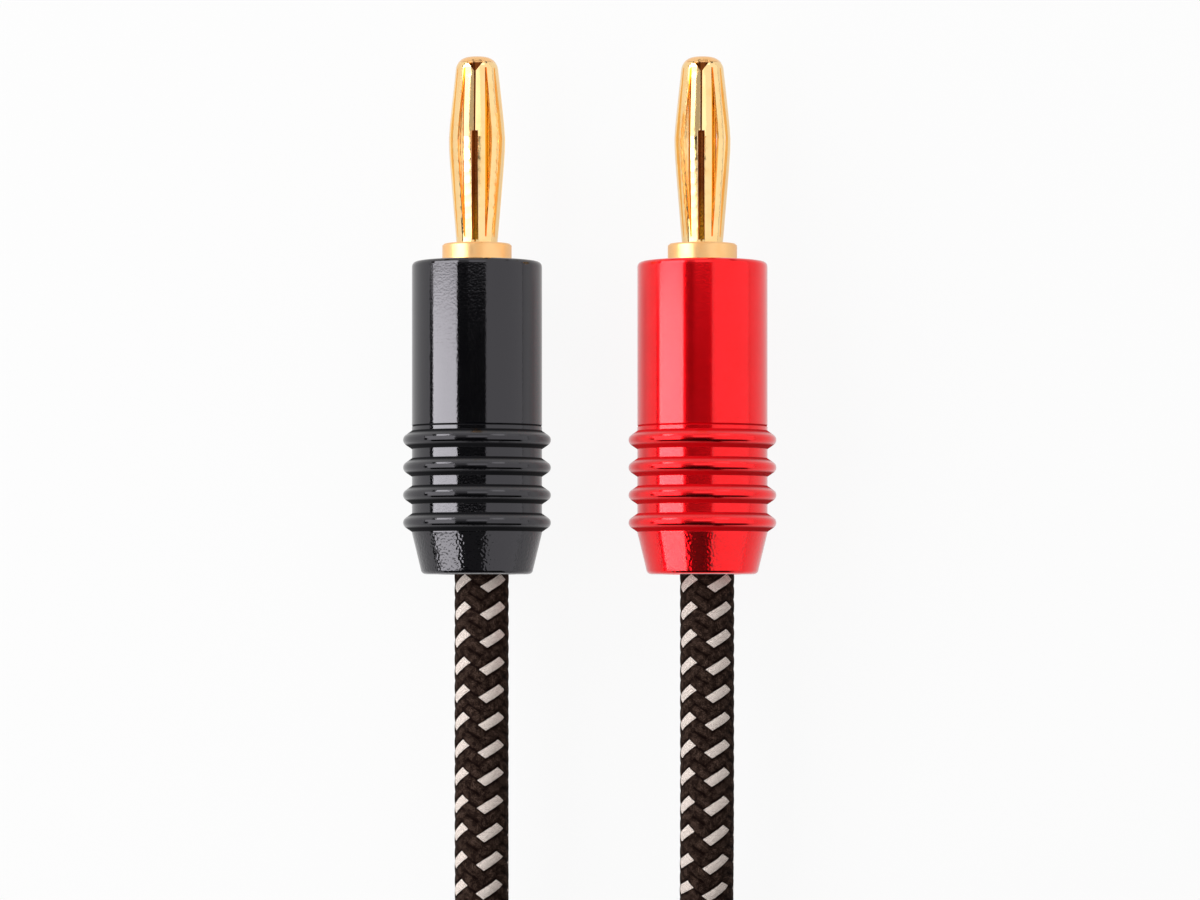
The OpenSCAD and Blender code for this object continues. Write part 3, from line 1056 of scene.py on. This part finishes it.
@dataclass(frozen=True)
class Tie:
    """The strap round the coil, drawn tight and closed on itself."""

    coil: Coil = field(default_factory=Coil)
    width: float = 9.0
    thick: float = 0.9
    half_width: float = 9.38
    height: float = 27.6
    corner: float = 0.25
    corner_growth: float = 0.85
    steps: int = 9
    edge: float = 0.22
    inset: float = 0.02

    def outline(self, out: float) -> list[tuple[float, float]]:
        """A rounded rectangle round the turns, as radius and height.

        Args:
            out: How far outside the turns it lies.

        Returns:
            Its points, from the middle of the outer side and round.
        """
        r_in = self.coil.middle - self.half_width - out
        r_out = self.coil.middle + self.half_width + out
        low, high = self.thick - out, self.height + self.thick + out
        corner = self.corner + out * self.corner_growth
        points: list[tuple[float, float]] = []
        corners = [(r_out, high, 0), (r_in, high, 90), (r_in, low, 180), (r_out, low, 270)]
        for r, z, start in corners:
            cr = r - corner if r == r_out else r + corner
            cz = z - corner if z == high else z + corner
            for k in range(self.steps + 1):
                turn = math.radians(start + 90 * k / self.steps)
                points.append((cr + corner * math.cos(turn), cz + corner * math.sin(turn)))
        return points

    def build(self, material: bpy.types.Material) -> bpy.types.Object:
        """Makes the strap.

        Args:
            material: The webbing's material.

        Returns:
            The strap's object.
        """
        turn = math.radians(self.coil.tie_angle)
        outward = np.array([math.cos(turn), math.sin(turn)])
        sideways = np.array([-math.sin(turn), math.cos(turn)])
        inner, outer = self.outline(self.inset), self.outline(self.thick - self.inset)
        half = self.width / 2
        flat = half - self.edge
        bevel = self.edge / self.thick
        section = [
            (0.0, -flat), (0.0, flat), (bevel, half), (1 - bevel, half),
            (1.0, flat), (1.0, -flat), (1 - bevel, -half), (bevel, -half),
        ]
        verts, faces, uvs = [], [], []
        for (r0, z0), (r1, z1) in zip(inner, outer):
            for depth, side in section:
                r, z = r0 + (r1 - r0) * depth, z0 + (z1 - z0) * depth
                at = np.array(self.coil.centre) + outward * r + sideways * side
                verts.append((at[0], at[1], z))
        lengths = [math.dist(p, q) for p, q in zip(outer, outer[1:] + outer[:1])]
        widths = [
            math.hypot((p[0] - q[0]) * self.thick, p[1] - q[1])
            for p, q in zip(section, section[1:] + section[:1])
        ]
        along, round_at = (np.concatenate([[0.0], np.cumsum(s)]) for s in (lengths, widths))
        n, m = len(inner), len(section)
        for i in range(n):
            for k in range(m):
                after, beside = (i + 1) % n, (k + 1) % m
                faces.append((i * m + k, i * m + beside, after * m + beside, after * m + k))
                for a, b in ((i, k), (i, k + 1), (i + 1, k + 1), (i + 1, k)):
                    uvs.append((along[a] * MM, round_at[b] * MM))
        made = link("tie_strap", np.array(verts), faces)
        set_uv(made, np.array(uvs))
        made.data.materials.append(material)
        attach(made, "root")
        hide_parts("coil_tie")
        LOG.info("tie strap: %d faces", len(made.data.polygons))
        return made


# Plugs and studio


@dataclass(frozen=True)
class Plugs:
    """The four plugs, whose CAD nodes are dressed where they are."""

    shells: dict[Side, bpy.types.Material]
    parts: dict[str, bpy.types.Material]

    def dress(self) -> None:
        """Gives each of the plugs' nodes its material."""
        for side in Side:
            for end in End:
                for part, material in {**self.parts, "shell": self.shells[side]}.items():
                    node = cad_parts[f"{side.value}_{end.value}_{part}"]
                    node.data.materials.clear()
                    node.data.materials.append(material)
                    node.visible_glossy = part == "spring"
                LOG.info("%s %s plug dressed", side.value, end.value)


@dataclass(frozen=True)
class Softbox:
    """One rectangular studio light.

    It spans the angles from low to high, in degrees from straight up, to the side that bearing
    points to, which is 0 for +X. Across that it runs level from start to stop, in metres. Its glow
    is its radiance.
    """

    name: str
    low: float
    high: float
    start: float
    stop: float
    glow: float
    bearing: float = 0.0
    distance: float = 0.62

    def build(self) -> None:
        """Places the light, which faces the plugs."""
        middle = math.radians((self.low + self.high) / 2)
        half = math.radians((self.high - self.low) / 2)
        data = bpy.data.lights.new(self.name, "AREA")
        data.shape = "RECTANGLE"
        data.size = 2 * self.distance * math.tan(half)
        data.size_y = self.stop - self.start
        data.energy = self.glow * math.pi * data.size * data.size_y
        light = bpy.data.objects.new(self.name, data)
        bearing = math.radians(self.bearing)
        out, along = self.distance * math.sin(middle), (self.start + self.stop) / 2
        light.location = (
            out * math.cos(bearing) - along * math.sin(bearing),
            out * math.sin(bearing) + along * math.cos(bearing),
            self.distance * math.cos(middle),
        )
        light.rotation_euler = (0.0, middle, bearing)
        bpy.context.scene.collection.objects.link(light)


@dataclass(frozen=True)
class Studio:
    """Camera, floor, lights and background.

    The key light is in sections, because each part of a plug mirrors a stretch of its own. Of what
    the camera sees of the floor straight, veil is white, and of what it sees mirrored, mirrored.
    """

    centre: tuple[float, float] = (0.87, 33.4)
    height: float = 416.0
    view_width: float = 101.4
    axis_height: float = 6.25
    middle_y: float = 47.5
    sensor: float = 36.0
    floor_half: float = 2500.0
    floor_rough: float = 0.9
    floor_colour: Colour = (0.60, 0.60, 0.60)
    veil: float = 0.92
    mirrored: float = 0.60
    world: Colour = (0.015, 0.015, 0.015)
    lights: tuple[Softbox, ...] = (
        Softbox("key_left_tails", -82.0, -34.4, -0.38, -0.17, 5.5),
        Softbox("key_left_stems", -82.0, -34.4, -0.17, 0.043, 2.1),
        Softbox("key_left", -82.0, -34.4, 0.043, 0.108, 8.0),
        Softbox("key_left_tips", -88.0, -34.4, 0.108, 0.30, 2.1),
        Softbox("key_left_far", -82.0, -34.4, 0.30, 0.80, 6.0),
        Softbox("fill_right", 16.4, 89.0, -0.45, 1.00, 1.05),
        Softbox("top_tails", -34.4, 16.4, -0.40, -0.14, 0.09),
        Softbox("top_stems", -34.4, 16.4, -0.03, 0.043, 0.90),
        Softbox("top_gap", -34.4, -15.0, 0.12, 0.42, 0.45),
        Softbox("top_tips", -15.0, 16.4, 0.12, 0.42, 1.4),
        Softbox("front", 48.0, 88.0, -0.45, 0.45, 0.90, bearing=90.0, distance=0.75),
    )

    def camera(self) -> None:
        """Makes the camera, which looks straight down from the photograph's distance."""
        data = bpy.data.cameras.new("camera")
        data.sensor_width = self.sensor
        data.lens = self.sensor * (self.height - self.axis_height) / self.view_width
        data.shift_y = (self.middle_y - self.centre[1]) / self.view_width
        data.clip_start, data.clip_end = 0.01, 20.0
        made = bpy.data.objects.new("camera", data)
        made.location = (self.centre[0] * MM, self.centre[1] * MM, self.height * MM)
        bpy.context.scene.collection.objects.link(made)
        bpy.context.scene.camera = made

    def floor(self) -> None:
        """Lays the pale floor, which isn't part of the object."""
        half = self.floor_half
        corners = [(-half, -half, 0), (half, -half, 0), (half, half, 0), (-half, half, 0)]
        made = link("floor", np.array(corners), [(0, 1, 2, 3)])
        g = Graph("pale_floor")
        g.cover(g.seen(self.veil, self.mirrored), "ShaderNodeEmission", {})
        made.data.materials.append(
            g.finish(Base_Color=self.floor_colour, Roughness=self.floor_rough)
        )

    def light(self) -> None:
        """Places the lights and the background."""
        for box in self.lights:
            box.build()
        scene = bpy.context.scene
        world = bpy.data.worlds.new("studio")
        g = Graph.of_world(world)
        colour = g.mix(g.seen(1.0), self.world, (1.0, 1.0, 1.0))
        g.tree.links.new(colour.socket, g.tree.nodes["Background"].inputs[0])
        scene.world = world
        scene.view_settings.view_transform = "Standard"


# The pair as it lies


def black_lead() -> Lead:
    """The black lead, wound on the outside first."""
    return Lead(
        side=Side.BLACK,
        near=(
            (-9.525, 45.9, 6.25), (-9.525, 43.5, 6.25), (-9.125, 41.3, 6.25), (-9.125, 16, 6.25),
            (-9.125, 11, 6.0), (-9.125, 6, 5.2), (-9.125, 1, 4.0), (-9.125, -4, 2.9),
            (-9.125, -8, 2.4), (-9.125, -14, 2.3), (-9.4, -17.6, 2.3),
        ),
        far=(
            (49, -39.9, 25.5), (49, -30, 26.3), (45.6, -20.6, 27.7), (39.3, -12.9, 29.4),
            (30.6, -7.8, 31.2), (21.4, -5.7, 32.5), (15.7, -6.5, 33.3), (10.5, -9.8, 33.9),
            (7.2, -14.9, 34.1), (6.35, -20, 34.2), (6.35, -41.3, 34.2), (6.75, -43.5, 34.2),
            (6.75, -45.9, 34.2),
        ),
        turns=(157.0, 3575.0),
        columns=(3, ((398, 460, 1), (988, 1050, 3), (1578, 1640, 1), (1860, 1898, 0),
                     (2118, 2180, 2), (2708, 2770, 0), (3298, 3360, 2))),
        layers=((694, 754), (1284, 1344), (1824, 1862), (2414, 2474), (3004, 3064)),
        exit=(-9.125, 37.0, 6.25),
    )


def red_lead() -> Lead:
    """The red lead, wound on the inside first."""
    return Lead(
        side=Side.RED,
        near=(
            (9.525, 45.9, 6.25), (9.525, 43.5, 6.25), (9.925, 41.3, 6.25), (9.925, 19, 6.25),
            (9.925, 15, 5.9), (9.925, 11, 4.8), (9.925, 7, 3.4), (9.925, 3.5, 2.4),
            (9.9, 0.3, 2.3), (9, -4.2, 2.3), (6.5, -8.5, 2.3),
        ),
        far=(
            (51.1, -21.2, 25.6), (46, -13.2, 26.3), (39, -7, 27.4), (29.8, -2.6, 29),
            (20, -1.1, 30.7), (9.5, -2.8, 32.3), (0.7, -7.1, 33.5), (-4.3, -11.3, 34),
            (-6.5, -15.5, 34.2), (-7.15, -20, 34.2), (-7.15, -41.3, 34.2), (-6.75, -43.5, 34.2),
            (-6.75, -45.9, 34.2),
        ),
        turns=(124.4, 3610.0),
        columns=(2, ((398, 460, 0), (988, 1050, 2), (1578, 1640, 0), (1860, 1898, 1),
                     (2118, 2180, 3), (2708, 2770, 1), (3298, 3360, 3))),
        layers=((694, 754), (1284, 1344), (1896, 1934), (2414, 2474), (3004, 3064)),
        exit=(9.925, 37.0, 6.25),
    )


def plugs() -> Plugs:
    """The four plugs with a finish for each of their pieces."""
    black = Anodised(
        "black_anodised",
        colour=(0.0016, 0.0016, 0.002),
        deep=(0.001, 0.001, 0.0014),
        metal=0.0,
        rough=0.055,
        ior=1.63,
        tint=(0.95, 0.92, 1.0),
    )
    red = Anodised(
        "red_anodised",
        colour=(1.0, 0.004, 0.010),
        deep=(0.94, 0.003, 0.007),
        metal=1.0,
        rough=0.172,
        coat=0.66,
        # Painted shade on the red shell's ring flanks.
        root=(0.50, 0.0, 0.003),
        flank_shade_cover=0.95,
    )
    plate = Gold("gold_plate", collar_from=0.0634, deep_from=0.06495, deep_to=0.08015)
    sheet = Gold(
        "gold_spring",
        colour=(1.0, 0.70, 0.33),
        worn=(1.0, 0.64, 0.27),
        rough=0.09,
        drawn=0.6,
        depth=0.0000025,
    )
    rubber = Moulded("insulation", (0.012, 0.012, 0.013), (0.02, 0.02, 0.021), 0.5)
    sleeve = Moulded("shrink_band", (0.008, 0.008, 0.009), (0.016, 0.016, 0.017), 0.38)
    return Plugs(
        shells={Side.BLACK: black.make(), Side.RED: red.make()},
        parts={
            "contact": plate.make(),
            "spring": sheet.make(),
            "liner": Moulded("nylon", (0.82, 0.80, 0.74), (0.74, 0.71, 0.64), 0.42).make(),
            "set_screws": Machined().make(),
            "conductor": Stranded().make(),
            "insulation": rubber.make(),
            "band": sleeve.make(),
        },
    )


def main() -> None:
    """Builds the scene and reports each piece."""
    logging.basicConfig(level=logging.INFO, format="%(name)s: %(message)s")
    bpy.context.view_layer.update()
    studio = Studio()
    studio.camera()
    braid = Braid(Weave()).make()
    black_lead().build(braid, ("black_near_lead", "black_far_lead", "lead_coil"))
    red_lead().build(braid, ("red_near_lead", "red_far_lead", "lead_coil"))
    Tie().build(Webbing().make())
    plugs().dress()
    studio.floor()
    studio.light()


if __name__ == "__main__":
    main()
